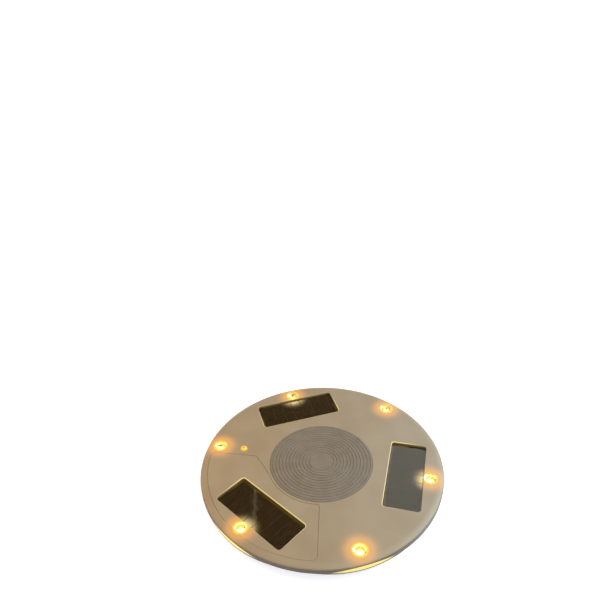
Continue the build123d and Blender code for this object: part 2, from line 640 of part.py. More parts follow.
def case_screws():
    """Six screws that hold the tray to the deck frame, heads down."""
    low, high = SCREW_HEAD
    head = disc(SCREW_HEAD_RADIUS, low, high) - cross_slot(low, 3.2, 0.7, 1.0)
    screw = head + disc(SCREW_SHANK_RADIUS, high, SCREW_TOP)
    return Compound(children=[polar(SCREW_RING, azimuth) * screw for azimuth in SCREW_AZIMUTHS])


# ---------------------------------------------------------------- battery door
def battery_door():
    """The door with its hinge barrel, locating rim and screw tab."""
    half = DOOR_LENGTH / 2
    inner_face = FLOOR_BOTTOM + DOOR_THICKNESS
    door = block(-half, half, DOOR_FAR_EDGE, HINGE_Y, FLOOR_BOTTOM, inner_face)
    door += lying_rod(BARREL_RADIUS, -half, half, HINGE_Y, HINGE_Z)
    outer = 2 * DOOR_RIM_GAP
    inner = outer + 2 * DOOR_RIM_THICKNESS
    top = inner_face + DOOR_RIM_HEIGHT
    rim = plate(BAY_LENGTH - outer, BAY_WIDTH - outer, inner_face - 0.1, top, DOOR_RIM_CORNER)
    door += rim - plate(BAY_LENGTH - inner, BAY_WIDTH - inner, inner_face - 1, top + 1, 1.0)
    tab_top = FLOOR_BOTTOM + TAB_THICKNESS
    door += block(-TAB_WIDTH / 2, TAB_WIDTH / 2, TAB_END, DOOR_FAR_EDGE, FLOOR_BOTTOM, tab_top)
    door -= lying_rod(PIN_RADIUS + 0.05, -half - 1, half + 1, HINGE_Y, HINGE_Z)
    head_radius, _, head_top = DOOR_SCREW_HEAD
    screw_hole = disc(head_radius + 0.2, 0, FLOOR_BOTTOM + head_top)
    screw_hole += disc(SCREW_SHANK_RADIUS + 0.05, 0, tab_top + 1)
    door -= Pos(0, DOOR_SCREW_Y, 0) * screw_hole
    half = GRIP_HALF_LENGTH
    groove = block(-half, half, 0, GRIP_WIDTH, FLOOR_BOTTOM - 1, FLOOR_BOTTOM + GRIP_DEPTH)
    for step in range(5):
        door -= Pos(0, GRIP_START + GRIP_STEP * step, 0) * groove
    return door


def battery_door_seal():
    """The rubber loop round the door's locating rim."""
    inner_face = FLOOR_BOTTOM + DOOR_THICKNESS
    gap = 2 * SEAL_GAP
    rim = 2 * DOOR_RIM_GAP
    outer = plate(BAY_LENGTH - gap, BAY_WIDTH - gap, inner_face, inner_face + SEAL_HEIGHT, 1.9)
    return outer - plate(BAY_LENGTH - rim, BAY_WIDTH - rim, inner_face - 1, inner_face + 2, DOOR_RIM_CORNER)


def battery_door_screw():
    """The captive screw in the door's tab, head down."""
    radius, low, high = DOOR_SCREW_HEAD
    head = disc(radius, FLOOR_BOTTOM + low, FLOOR_BOTTOM + high)
    head -= cross_slot(FLOOR_BOTTOM + low, 3.0, 0.7, 0.7)
    shank = disc(SCREW_SHANK_RADIUS, FLOOR_BOTTOM + high, DOOR_SCREW_TOP)
    return Pos(0, DOOR_SCREW_Y, 0) * (head + shank)


def battery_door_hinge_pin():
    """The steel pin through the door's barrel, held at both ends in the tray."""
    end = DOOR_LENGTH / 2 + PIN_REACH
    return lying_rod(PIN_RADIUS, -end, end, HINGE_Y, HINGE_Z)


# ---------------------------------------------------------------- batteries
def facing(direction):
    """Turn a cell, spring or contact to face along +X or -X."""
    return Rot(0, 0, 0 if direction > 0 else 180)


def battery_cell():
    """One AA cell lying along X on the axis line, its button end towards +X."""
    front = CELL_BACK + CELL_LENGTH
    can = lying_rod(CELL_RADIUS, CELL_BACK, front - CELL_NUB, 0, CELL_AXIS)
    return can + lying_rod(CELL_NUB_RADIUS, front - CELL_NUB, front, 0, CELL_AXIS)


def battery_spring():
    """A compressed conical spring on its backing plate, at a cell's flat end."""
    face = CAVITY_BACK + CONTACT_THICKNESS
    low = CELL_AXIS - SPRING_PLATE
    spring = block(CAVITY_BACK, face, -SPRING_PLATE, SPRING_PLATE, low, low + 2 * SPRING_PLATE)
    for turn in range(COIL_TURNS):
        coil = Torus(COIL_RADIUS - COIL_TAPER * turn, COIL_WIRE)
        spring += Pos(face + 0.35 + COIL_PITCH * turn, 0, CELL_AXIS) * Rot(0, 90, 0) * coil
    return spring


def battery_contact():
    """The flat contact at a cell's button end."""
    back = CAVITY_FRONT - CONTACT_THICKNESS
    low = CELL_AXIS - CONTACT_PLATE
    return block(back, CAVITY_FRONT, -CONTACT_PLATE, CONTACT_PLATE, low, low + 2 * CONTACT_PLATE)


def battery_cradle():
    """The frame in the bay that holds the two cells side by side."""
    half_x = BAY_LENGTH / 2 - CRADLE_PLAY
    half_y = BAY_WIDTH / 2 - CRADLE_PLAY
    low, high = CRADLE_HEIGHTS
    cradle = block(-half_x, half_x, -half_y, half_y, low, high)
    reach = CELL_RADIUS + CELL_PLAY
    for direction, (_, y) in CELL_PLACES.items():
        cavity = lying_rod(reach, CAVITY_BACK, CAVITY_FRONT, 0, CELL_AXIS)
        cavity += block(CAVITY_BACK, CAVITY_FRONT, -reach, reach, low - 0.6, CELL_AXIS)
        cradle -= Pos(0, y, 0) * facing(direction) * cavity
    return cradle


def save_batteries():
    """Cells, cradle, springs and contacts."""
    springs = []
    contacts = []
    for direction, (number, y) in CELL_PLACES.items():
        place = Pos(0, y, 0) * facing(direction)
        save(f"battery_cell_{number}", place * battery_cell())
        springs.append(place * battery_spring())
        contacts.append(place * battery_contact())
    save("battery_springs", Compound(children=springs))
    save("battery_contacts", Compound(children=contacts))
    save("battery_cradle", battery_cradle())


# ---------------------------------------------------------------- electronics
def control_board():
    """The main circuit board with its four screw holes."""
    board = plate(BOARD_LENGTH, BOARD_WIDTH, BOARD_BOTTOM, BOARD_TOP, BOARD_CORNER)
    board = Pos(0, BOARD_CENTRE_Y, 0) * board
    for place in board_posts():
        board -= place * disc(BOARD_HOLE, BOARD_BOTTOM - 1, BOARD_TOP + 1)
    return board


def control_chip():
    """The controller in its flat package."""
    length, width, height, x = CHIP
    return Pos(x, BOARD_CENTRE_Y, 0) * plate(length, width, BOARD_TOP, BOARD_TOP + height, 0.4)


def charge_inductor():
    """The coil of the charging circuit: a round core with a waist."""
    flange, waist, height, thickness = COIL_CORE
    top = BOARD_TOP + height
    core = disc(waist, BOARD_TOP, top)
    core += disc(flange, BOARD_TOP, BOARD_TOP + thickness) + disc(flange, top - thickness, top)
    x, y = COIL_CORE_PLACE
    return Pos(x, BOARD_CENTRE_Y + y, 0) * core


def storage_capacitor():
    """An upright can capacitor."""
    radius, height, rounding = CAN
    can = disc(radius, BOARD_TOP, BOARD_TOP + height)
    can = fillet(can.edges().sort_by(Axis.Z)[-1], rounding)
    x, y = CAN_PLACE
    return Pos(x, BOARD_CENTRE_Y + y, 0) * can


def board_screws():
    """Four small screws that hold the control board."""
    head_radius, head_height, shank_radius, tip = BOARD_SCREW
    screw = disc(head_radius, BOARD_TOP, BOARD_TOP + head_height) + disc(shank_radius, tip, BOARD_TOP)
    return Compound(children=[place * screw for place in board_posts()])


def switch_body():
    """The slide switch's housing under the board, open below for the slider's stem."""
    x, y, low = SWITCH_SHELL
    shell = block(-x, x, -y, y, low, BOARD_BOTTOM)
    x, y, high = SWITCH_ROOM
    shell -= block(-x, x, -y, y, low - 1, high)
    return Pos(0, BOARD_CENTRE_Y, 0) * shell


def switch_slider():
    """The slider: ridged knob, flange inside the tray and stem into the switch."""
    middle = -SWITCH_TRAVEL / 2
    half = KNOB_LENGTH / 2
    x, y, low, high = SLIDER_FLANGE
    slider = block(-half, half, -KNOB_WIDTH / 2, KNOB_WIDTH / 2, KNOB_BOTTOM, high)
    slider += block(-x, x, -y, y, low, high)
    x, y, top = STEM
    slider += block(-x, x, -y, y, high, top)
    for x in KNOB_GROOVES:
        slider -= block(x - 0.25, x + 0.25, -2, 2, KNOB_BOTTOM - 1, KNOB_BOTTOM + 0.35)
    return Pos(middle, BOARD_CENTRE_Y, 0) * slider


def lead(start, end, radius):
    """A straight lead between two points, with a bead of sealant at its start."""
    way = Vector(*end) - Vector(*start)
    bar = Plane(Vector(*start), z_dir=way) * Cylinder(radius, way.length, align=UP)
    return bar + Pos(*start) * Sphere(RISER_RADIUS + 0.1)


def lamp_branch(low, high, riser_top):
    """A riser from the loom's ring and the lead from it to a lamp board."""
    end = LAMP_RADIUS - 2
    board = LAMP_BOARD_TOP - LAMP_BOARD[2]
    riser = lead((LOOM_RADIUS, 0, low), (LOOM_RADIUS, 0, riser_top), RISER_RADIUS)
    across = lead((LOOM_RADIUS, 0, high), (end, 0, high), LEAD_RADIUS)
    return riser + across + lead((end, 0, high), (end, 0, board), LEAD_RADIUS)


def wiring_harness():
    """The loom: a ring of leads with branches to the lamps, panels, sensor and control board."""
    low = FLOOR_TOP + LOOM_THICKNESS + LOOM_CLEARANCE
    branches = []
    for azimuth in LAMP_AZIMUTHS:
        riser_top = BACKING_BOTTOM if azimuth in PANEL_NAMES.values() else BRANCH_HEIGHT + 0.5
        branches.append(Rot(0, 0, azimuth) * lamp_branch(low, BRANCH_HEIGHT, riser_top))
    sensor = lead((LOOM_RADIUS, 0, low), (SENSOR_RADIUS, 0, low), LEAD_RADIUS)
    sensor += lead((SENSOR_RADIUS, 0, low), (SENSOR_RADIUS, 0, SENSOR_CELL_BOTTOM), LEAD_RADIUS)
    branches.append(Rot(0, 0, SENSOR_AZIMUTH) * sensor)
    board_edge = BOARD_CENTRE_Y - BOARD_WIDTH / 2 + 1.5
    branches.append(lead((0, -LOOM_RADIUS, low), (0, board_edge, low), LEAD_RADIUS))
    branches.append(lead((0, board_edge, low), (0, board_edge, BOARD_BOTTOM), LEAD_RADIUS))
    return Pos(0, 0, low) * Torus(LOOM_RADIUS, LOOM_THICKNESS) + branches


# ---------------------------------------------------------------- write every sub-part
save("deck_frame", deck_frame())
save("sector_cover", sector_cover())
save("pot_rest_pad", pot_rest_pad())
save("light_guide_ring", light_guide_ring())
save_panels()
save_lamps()
save("sensor_lens", sensor_lens())
save("sensor_cell", sensor_cell())
save("base_tray", base_tray())
save("rubber_feet", rubber_feet())
save("case_screws", case_screws())
save("battery_door", battery_door())
save("battery_door_seal", battery_door_seal())
save("battery_door_screw", battery_door_screw())
save("battery_door_hinge_pin", battery_door_hinge_pin())
save_batteries()
save("control_board", control_board())
save("control_chip", control_chip())
save("charge_inductor", charge_inductor())
save("storage_capacitor", storage_capacitor())
save("board_screws", board_screws())
save("switch_body", switch_body())
save("switch_slider", switch_slider())
save("wiring_harness", wiring_harness())
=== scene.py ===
import json
from math import atan2, cos, pi, radians, sin

import bpy
from mathutils import Matrix, Vector


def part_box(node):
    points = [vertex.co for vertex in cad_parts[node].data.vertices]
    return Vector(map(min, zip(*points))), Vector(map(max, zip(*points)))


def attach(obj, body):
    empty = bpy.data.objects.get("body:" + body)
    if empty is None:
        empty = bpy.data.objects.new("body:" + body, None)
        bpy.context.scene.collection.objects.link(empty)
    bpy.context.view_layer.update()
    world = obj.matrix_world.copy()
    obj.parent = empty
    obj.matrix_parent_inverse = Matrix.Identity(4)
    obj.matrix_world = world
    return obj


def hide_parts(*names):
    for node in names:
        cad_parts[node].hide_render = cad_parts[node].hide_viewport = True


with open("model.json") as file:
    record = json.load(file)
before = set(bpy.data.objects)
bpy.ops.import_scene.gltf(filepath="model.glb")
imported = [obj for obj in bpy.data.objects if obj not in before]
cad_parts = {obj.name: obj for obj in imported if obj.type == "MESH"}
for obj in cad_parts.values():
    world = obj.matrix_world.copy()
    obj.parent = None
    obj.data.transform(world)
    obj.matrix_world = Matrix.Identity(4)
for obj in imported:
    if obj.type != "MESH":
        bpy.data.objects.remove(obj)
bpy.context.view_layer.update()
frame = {"nodes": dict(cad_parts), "record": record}
nodes = frame["nodes"]
MM = 0.001

# ---------------------------------------------------------------- places read from the frame
RIM_RADIUS, _, DECK_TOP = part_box("deck_frame")[1]


def middle(node):
    """The middle of a node's box."""
    low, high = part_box(node)
    return (low + high) / 2


LAMP_COUNT = 6
FIRST_LAMP = pi / 6                           # azimuth of lamp 1
LAMPS = [middle(f"lamp_lens_{number}") for number in range(1, LAMP_COUNT + 1)]
LAMP_RADIUS = LAMPS[0].xy.length              # how far a lamp is from the disc's axis
LENS_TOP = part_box("lamp_lens_1")[1].z
SLOT_REACH = 34 * MM                          # half of a rim slot's length
SLOT_DIP = 2 * MM                             # how far the middle of a rim slot dips
GUIDE_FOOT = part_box("light_guide_ring")[0].z
PANELS = ("rear", "left", "right")
FIRST_PANEL = pi / 2                          # azimuth of the rear panel
GLASS_LOW, GLASS_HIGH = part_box("panel_glass_rear")
WINDOW_LAP = 0.6 * MM                         # how far the glass reaches under the window's edge
WINDOW_CORNER = 3.2 * MM                      # radius of a window's corners
WINDOW_HALF = (
    (GLASS_HIGH.y - GLASS_LOW.y) / 2 - WINDOW_LAP,
    (GLASS_HIGH.x - GLASS_LOW.x) / 2 - WINDOW_LAP,
)
PANEL_RADIUS = middle("panel_glass_rear").y


# ---------------------------------------------------------------- camera
VIEW_TURN = radians(-17)                      # how far the view is turned about the disc
EYE = Vector((0, -3.5933, 3.6528))            # in rim radii, from the deck's middle, before the turn
AIM = Vector((-0.2170, 2.6692, 0))            # where the camera looks, given in the same way
ROLL = radians(-2.2225)
LENS_LENGTH = 35.68                           # focal length and sensor width in mm
SENSOR_WIDTH = 36
NEAR_LIMIT = 0.01


def place_camera():
    """The camera, looking past the disc as steeply and from as near as in the view that it matches."""
    turn = Matrix.Rotation(VIEW_TURN, 3, "Z")
    deck_middle = Vector((0, 0, DECK_TOP))
    eye = deck_middle + turn @ (EYE * RIM_RADIUS)
    aim = deck_middle + turn @ (AIM * RIM_RADIUS)
    camera = bpy.data.objects.new("camera", bpy.data.cameras.new("camera"))
    camera.data.lens = LENS_LENGTH
    camera.data.sensor_width = SENSOR_WIDTH
    camera.data.clip_start = NEAR_LIMIT
    facing = (aim - eye).to_track_quat("-Z", "Y").to_matrix() @ Matrix.Rotation(ROLL, 3, "Z")
    camera.matrix_world = Matrix.Translation(eye) @ facing.to_4x4()
    bpy.context.scene.collection.objects.link(camera)
    bpy.context.scene.camera = camera


# ---------------------------------------------------------------- material tools
BLACK = (0.0, 0.0, 0.0)
BEVEL_SAMPLES = 4
EDGE_RADIUS = 0.3 * MM                        # how round the edges of a moulded piece look


def colour_value(tone):
    """A colour as a socket takes it, or a socket as it is."""
    return (*tone, 1) if isinstance(tone, tuple) else tone


class Finish:
    """A material with one Principled shader, and short ways to add nodes to it."""

    def __init__(self, name, **values):
        self.material = bpy.data.materials.new(name)
        self.material.use_nodes = True
        self.tree = self.material.node_tree
        self.shader = self.tree.nodes["Principled BSDF"]
        for socket, value in values.items():
            self.shader.inputs[socket.replace("_", " ")].default_value = value
        self.place = self.node("TexCoord").outputs["Object"]

    def node(self, kind, inputs=None, **settings):
        """A new node. Inputs are given by name or number, as a value or as a socket to link."""
        made = self.tree.nodes.new("ShaderNode" + kind)
        for name, value in settings.items():
            setattr(made, name, value)
        for name, value in (inputs or {}).items():
            if isinstance(value, bpy.types.NodeSocket):
                self.tree.links.new(value, made.inputs[name])
            else:
                made.inputs[name].default_value = value
        return made

    def math(self, operation, *values):
        """The result of a Math node."""
        return self.node("Math", dict(enumerate(values)), operation=operation).outputs[0]

    def axes(self):
        """The point's own X, Y and Z in metres."""
        return self.node("SeparateXYZ", {0: self.place}).outputs

    def noise(self, size, detail=3.0):
        """Cloudy noise with features of a size in metres, from 0 to 1."""
        inputs = {"Vector": self.place, "Scale": 1 / size, "Detail": detail}
        return self.node("TexNoise", inputs).outputs["Fac"]

    def span(self, value, low, high, to_low=0.0, to_high=1.0, smooth=True):
        """A value between low and high as one between to_low and to_high, held at the ends."""
        inputs = {
            "Value": value,
            "From Min": low,
            "From Max": high,
            "To Min": to_low,
            "To Max": to_high,
        }
        kind = "SMOOTHSTEP" if smooth else "LINEAR"
        return self.node("MapRange", inputs, interpolation_type=kind, clamp=True).outputs[0]

    def mix(self, share, first, second):
        """Two colours mixed: the first at a share of 0, the second at 1."""
        made = self.node("Mix", data_type="RGBA")
        sockets = made.inputs[0], made.inputs[6], made.inputs[7]
        for socket, value in zip(sockets, (share, colour_value(first), colour_value(second))):
            if isinstance(value, bpy.types.NodeSocket):
                self.tree.links.new(value, socket)
            else:
                socket.default_value = value
        return made.outputs[2]

    def drive(self, socket, value):
        """Link a value to one of the shader's sockets."""
        self.tree.links.new(value, self.shader.inputs[socket])

    def set(self, socket, value):
        """Give one of the shader's sockets a fixed value."""
        self.shader.inputs[socket].default_value = value

    def relief(self, height, depth, edge=0.0):
        """Bump of a depth in metres, over edges that are rounded to a radius."""
        inputs = {"Height": height, "Strength": 1.0, "Distance": depth}
        if edge:
            inputs["Normal"] = self.node("Bevel", {"Radius": edge}, samples=BEVEL_SAMPLES).outputs[0]
        self.drive("Normal", self.node("Bump", inputs).outputs[0])


def mottled(name, dark, light, rough, cloud=20 * MM, grain=0.4 * MM, depth=0.02 * MM):
    """A surface with cloudy colour, a fine grain and a roughness that varies between two values."""
    finish = Finish(name)
    clouds = finish.noise(cloud, 4.0)
    specks = finish.noise(grain, 2.0)
    from_clouds = finish.span(clouds, 0.3, 0.7, 0.0, 0.75)
    from_specks = finish.span(specks, 0.3, 0.7, 0.0, 0.25)
    finish.colour = finish.mix(finish.math("ADD", from_clouds, from_specks), dark, light)
    finish.drive("Base Color", finish.colour)
    finish.drive("Roughness", finish.span(clouds, 0.25, 0.75, *rough))
    finish.relief(specks, depth, EDGE_RADIUS)
    return finish


# ---------------------------------------------------------------- materials
# base colours of the deck, with painted light: an orange lamp tint, painted shade on the rim's side and
# in the windows' walls, and a painted highlight on the windows' lips
DECK_DARK = (0.328, 0.250, 0.166)
DECK_LIGHT = (0.366, 0.284, 0.194)
# painted lamp light: the deck's base colour near a lamp
PAINTED_LAMP_TINT = (0.36, 0.26, 0.07)
# painted shade: the rim's side, much darker than the deck's top
PAINTED_RIM_SHADE = (0.050, 0.037, 0.023)
# painted highlight: a window's lip, lighter than the deck
PAINTED_LIP_HIGHLIGHT = (0.55, 0.47, 0.24)
# painted shade: a window's recess wall, darker than the deck
PAINTED_WALL_SHADE = (0.09, 0.065, 0.020)

# colours of painted light: glow painted as emission on surfaces that are no lamps
PAINTED_HALO = (0.36, 0.115, 0.0)                     # painted pool of lamp light on the deck, round a lamp
PAINTED_COLLAR = (0.48, 0.36, 0.0)                    # the same, close to the lens
PAINTED_SPILL = (1.05, 0.80, 0.36)                    # painted lamp light on the cells beside a lamp
PAINTED_LIP_GLOW = (0.45, 0.36, 0.17)               # painted highlight along a window's upper edge
PAINTED_WALL_GLOW = (0.120, 0.072, 0.012)           # painted glow on the wall just under the lip
PAINTED_FOOT_GLOW = (0.074, 0.040, 0.003)           # painted glow, dimmer, at the wall's foot by the glass

# distances from a lamp's axis over which a value grows
HALO_REACH = (26 * MM, 9.5 * MM)
COLLAR_REACH = (9.2 * MM, 6.4 * MM)
TINT_REACH = (12 * MM, 8 * MM)
SPILL_REACH = (27 * MM, 6.0 * MM)
GUIDE_REACH = (37 * MM, 20 * MM)
HOT_DOME = (2.4 * MM, 1.1 * MM)

# distances outside a window's edge, negative inside it
WALL_ZONE = 0.9 * MM
LIP_WIDTH = (0.75 * MM, 0.45 * MM)
CELL_MARGIN = (-3.1 * MM, -1.2 * MM)

# heights on the deck: just below its top face, and those over which a value grows downwards
BELOW_TOP = DECK_TOP - 0.02 * MM
WALL_START = (DECK_TOP - 0.45 * MM, DECK_TOP - 0.6 * MM)
WALL_FADE = (DECK_TOP - 0.6 * MM, DECK_TOP - 2.6 * MM)
SKIRT_START = (DECK_TOP - 1.5 * MM, DECK_TOP - 3.4 * MM)

# distances from the disc's axis over which a value changes near a panel
LIP_FADE = (PANEL_RADIUS - 12 * MM, PANEL_RADIUS + WINDOW_HALF[0] - 2 * MM)
MARGIN_FADE = (PANEL_RADIUS + 4 * MM, PANEL_RADIUS - 6 * MM)


def plane_length(finish, across, along):
    """The length of a vector in the plane."""
    across_squared = finish.math("MULTIPLY", across, across)
    along_squared = finish.math("MULTIPLY", along, along)
    return finish.math("SQRT", finish.math("ADD", across_squared, along_squared))


def beside_ray(finish, count, first):
    """How far a point is out along the nearest of evenly spaced rays, and how far beside that ray."""
    x, y, _ = finish.axes()
    step = 2 * pi / count
    azimuth = finish.math("SUBTRACT", finish.math("ARCTAN2", y, x), first)
    turns = finish.math("ROUND", finish.math("DIVIDE", azimuth, step))
    off = finish.math("SUBTRACT", azimuth, finish.math("MULTIPLY", turns, step))
    radius = plane_length(finish, x, y)
    out = finish.math("MULTIPLY", radius, finish.math("COSINE", off))
    return out, finish.math("MULTIPLY", radius, finish.math("SINE", off))


def lamp_distance(finish):
    """The distance in metres from the nearest lamp's axis."""
    out, beside = beside_ray(finish, LAMP_COUNT, FIRST_LAMP)
    return plane_length(finish, finish.math("SUBTRACT", out, LAMP_RADIUS), beside)


def window_distance(finish):
    """The distance in metres outside the nearest window's edge, and how far out the point is."""
    out, beside = beside_ray(finish, len(PANELS), FIRST_PANEL)
    parts = []
    for value, half in zip((finish.math("SUBTRACT", out, PANEL_RADIUS), beside), WINDOW_HALF):
        past = finish.math("SUBTRACT", finish.math("ABSOLUTE", value), half - WINDOW_CORNER)
        parts.append(finish.math("MAXIMUM", past, 0.0))
    return finish.math("SUBTRACT", plane_length(finish, *parts), WINDOW_CORNER), out


def deck_plastic():
    """Warm grey moulded plastic, with painted lamp light round the lamps, painted highlights along the
    thin edges of the windows, painted shade and glow on the windows' walls and painted shade on the rim's
    side.
    """
    finish = mottled("deck_plastic", DECK_DARK, DECK_LIGHT, (0.30, 0.42), cloud=30 * MM)
    height = finish.axes()[2]
    distance = lamp_distance(finish)
    past_edge, out = window_distance(finish)

    # painted highlight on a window's lip, painted shade and glow on the wall under it, and painted shade
    # on the skirt at the rim
    at_window = finish.math("LESS_THAN", past_edge, WALL_ZONE)
    painted_lip = finish.math("MULTIPLY", at_window, finish.math("LESS_THAN", height, BELOW_TOP))
    painted_lip = finish.math("MAXIMUM", painted_lip, finish.span(past_edge, *LIP_WIDTH))
    painted_lip = finish.math("MULTIPLY", painted_lip, finish.span(out, *LIP_FADE, 1.0, 0.12))
    painted_wall = finish.math("MULTIPLY", at_window, finish.span(height, *WALL_START))
    elsewhere = finish.math("SUBTRACT", 1.0, at_window)
    # painted shade on the rim's side, below the deck's top
    painted_skirt = finish.math("MULTIPLY", finish.span(height, *SKIRT_START), elsewhere)

    # painted lamp light: the base colour turns orange near each lamp
    colour = finish.mix(finish.span(distance, *TINT_REACH, 0.0, 0.6), finish.colour, PAINTED_LAMP_TINT)
    colour = finish.mix(painted_skirt, colour, PAINTED_RIM_SHADE)
    colour = finish.mix(painted_lip, colour, PAINTED_LIP_HIGHLIGHT)
    colour = finish.mix(painted_wall, colour, PAINTED_WALL_SHADE)
    finish.drive("Base Color", colour)

    # painted pool of lamp light round each lamp, brighter close to the lens
    glow = finish.mix(finish.math("POWER", finish.span(distance, *HALO_REACH), 2.5), BLACK, PAINTED_HALO)
    glow = finish.mix(finish.span(distance, *COLLAR_REACH), glow, PAINTED_COLLAR)
    glow = finish.mix(painted_skirt, glow, BLACK)
    glow = finish.mix(painted_lip, glow, PAINTED_LIP_GLOW)
    # painted glow down a window's wall, dimmer towards the glass
    down = finish.span(height, *WALL_FADE, smooth=False)
    glow = finish.mix(painted_wall, glow, finish.mix(down, PAINTED_WALL_GLOW, PAINTED_FOOT_GLOW))
    finish.drive("Emission Color", glow)
    finish.set("Emission Strength", 1.0)
    return finish


def tray_plastic():
    """Darker moulded plastic of the lower casing, with a spark-eroded grain."""
    dark, light = (0.100, 0.080, 0.050), (0.130, 0.105, 0.068)
    return mottled("tray_plastic", dark, light, (0.5, 0.66), grain=0.6 * MM, depth=0.05 * MM)


def pad_rubber():
    """Soft rubber of the pad, dusty in places."""
    dark, light = (0.19, 0.152, 0.115), (0.23, 0.188, 0.146)
    return mottled("pad_rubber", dark, light, (0.7, 0.88), cloud=12 * MM, depth=0.04 * MM)


def foot_rubber():
    """Black rubber of the feet and the door's seal."""
    dark, light = (0.018, 0.017, 0.016), (0.04, 0.038, 0.035)
    return mottled("foot_rubber", dark, light, (0.6, 0.8), cloud=6 * MM)


def guide_plastic():
    """Milky plastic with a painted warm yellow glow beside each lamp, for the lamps' light through it,
    and painted shade at its foot, under the sill.
    """
    dark, light = (0.20, 0.165, 0.06), (0.24, 0.20, 0.085)
    finish = mottled("guide_plastic", dark, light, (0.3, 0.42), cloud=10 * MM)
    # painted glow beside each lamp, for the lamps' light through the guide
    glow = finish.span(lamp_distance(finish), *GUIDE_REACH, 0.42, 0.70)

    # the sill's edge rises from its middle like a shallow bow
    beside = beside_ray(finish, LAMP_COUNT, FIRST_LAMP)[1]
    bow = finish.math("POWER", finish.math("DIVIDE", beside, SLOT_REACH), 2.0)
    sill = finish.math("ADD", finish.math("MULTIPLY", bow, SLOT_DIP), GUIDE_FOOT)
    above_sill = finish.math("SUBTRACT", finish.axes()[2], sill)
    # painted shade: the glow dims towards the foot, under the sill
    lit = finish.span(above_sill, 0.3 * MM, 1.1 * MM, 0.12, 1.0)
    finish.set("Emission Color", (1.0, 0.82, 0.16, 1))
    finish.drive("Emission Strength", finish.math("MULTIPLY", glow, lit))
    return finish


def gasket_rubber():
    """Soft rubber strip between deck and glass, with a faint painted glow for light from the deck's edge.
    """
    dark, light = (0.08, 0.065, 0.02), (0.11, 0.09, 0.03)
    finish = mottled("gasket_rubber", dark, light, (0.8, 0.95), cloud=4 * MM)
    # painted glow: the rubber emits a little, for the deck edge's light
    finish.set("Emission Color", colour_value(PAINTED_FOOT_GLOW))
    finish.set("Emission Strength", 1.0)
    return finish


def panel_glass():
    """Clear cover glass, with faint smears in its gloss."""
    finish = Finish("panel_glass", Base_Color=(0.97, 0.98, 0.98, 1), Transmission_Weight=1.0, IOR=1.5)
    finish.drive("Roughness", finish.span(finish.noise(12 * MM, 4.0), 0.35, 0.75, 0.02, 0.06))
    return finish


def silicon():
    """Dark solar cells with a faint crystal pattern, with painted lamp light beside the lamps and a
    painted glow from the window's inner edge.
    """
    finish = Finish("silicon")
    inputs = {"Vector": finish.place, "Scale": 1 / (6 * MM), "Randomness": 1.0}
    flakes = finish.node("TexVoronoi", inputs).outputs["Color"]
    flake = finish.node("SeparateColor", {0: flakes}).outputs[0]
    flake_share = finish.math("MULTIPLY", flake, 0.35)
    cloud_share = finish.math("MULTIPLY", finish.noise(30 * MM), 0.65)
    share = finish.math("ADD", flake_share, cloud_share)
    finish.drive("Base Color", finish.mix(share, (0.013, 0.006, 0.001), (0.024, 0.011, 0.003)))
    finish.drive("Roughness", finish.span(flake, 0.0, 1.0, 0.34, 0.40))
    finish.set("Specular IOR Level", 0.12)

    # painted glow near the window's inner edge and painted lamp light beside each lamp, as emission
    past_edge, out = window_distance(finish)
    painted_margin = finish.math("MULTIPLY", finish.span(past_edge, *CELL_MARGIN), finish.span(out, *MARGIN_FADE))
    glow = finish.mix(painted_margin, BLACK, PAINTED_FOOT_GLOW)
    spill = finish.math("POWER", finish.span(lamp_distance(finish), *SPILL_REACH), 3.8)
    finish.drive("Emission Color", finish.mix(spill, glow, PAINTED_SPILL))
    finish.set("Emission Strength", 1.0)
    return finish


def circuit_board():
    """Green solder mask with a faint weave."""
    return mottled("circuit_board", (0.012, 0.06, 0.03), (0.02, 0.095, 0.045), (0.35, 0.5), cloud=3 * MM)


def lens_clear():
    """Clear lens plastic, a little uneven, with a faint glow of its own for the light inside it."""
    finish = Finish("lens_clear", Base_Color=(1.0, 0.97, 0.80, 1), Transmission_Weight=1.0, IOR=1.49)
    finish.set("Emission Color", (1.0, 0.82, 0.12, 1))
    finish.set("Emission Strength", 0.04)
    finish.drive("Roughness", finish.span(finish.noise(2 * MM), 0.3, 0.7, 0.02, 0.08))
    finish.relief(finish.noise(2.5 * MM, 2.0), 0.06 * MM)
    return finish


def reflector_white():
    """White cup, lit most strongly beside the diode."""
    dark, light = (0.78, 0.70, 0.45), (0.86, 0.8, 0.55)
    finish = mottled("reflector_white", dark, light, (0.3, 0.45), cloud=2 * MM)
    low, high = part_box("lamp_reflector_1")
    near = finish.span(finish.axes()[2], high.z, low.z)
    finish.drive("Emission Color", finish.mix(near, (1.0, 0.58, 0.05), (1.0, 0.86, 0.42)))
    finish.drive("Emission Strength", finish.math("ADD", finish.math("MULTIPLY", near, 2.6), 1.1))
    return finish


def led_package():
    """The diode: a pale package round a white-hot dome."""
    finish = mottled("led_package", (0.8, 0.7, 0.4), (0.9, 0.8, 0.5), (0.3, 0.5), cloud=1 * MM)
    hot = finish.span(lamp_distance(finish), *HOT_DOME)
    finish.drive("Emission Color", finish.mix(hot, (1.0, 0.80, 0.40), (1.0, 0.94, 0.82)))
    finish.drive("Emission Strength", finish.math("ADD", finish.math("MULTIPLY", hot, 40.0), 6.0))
    return finish


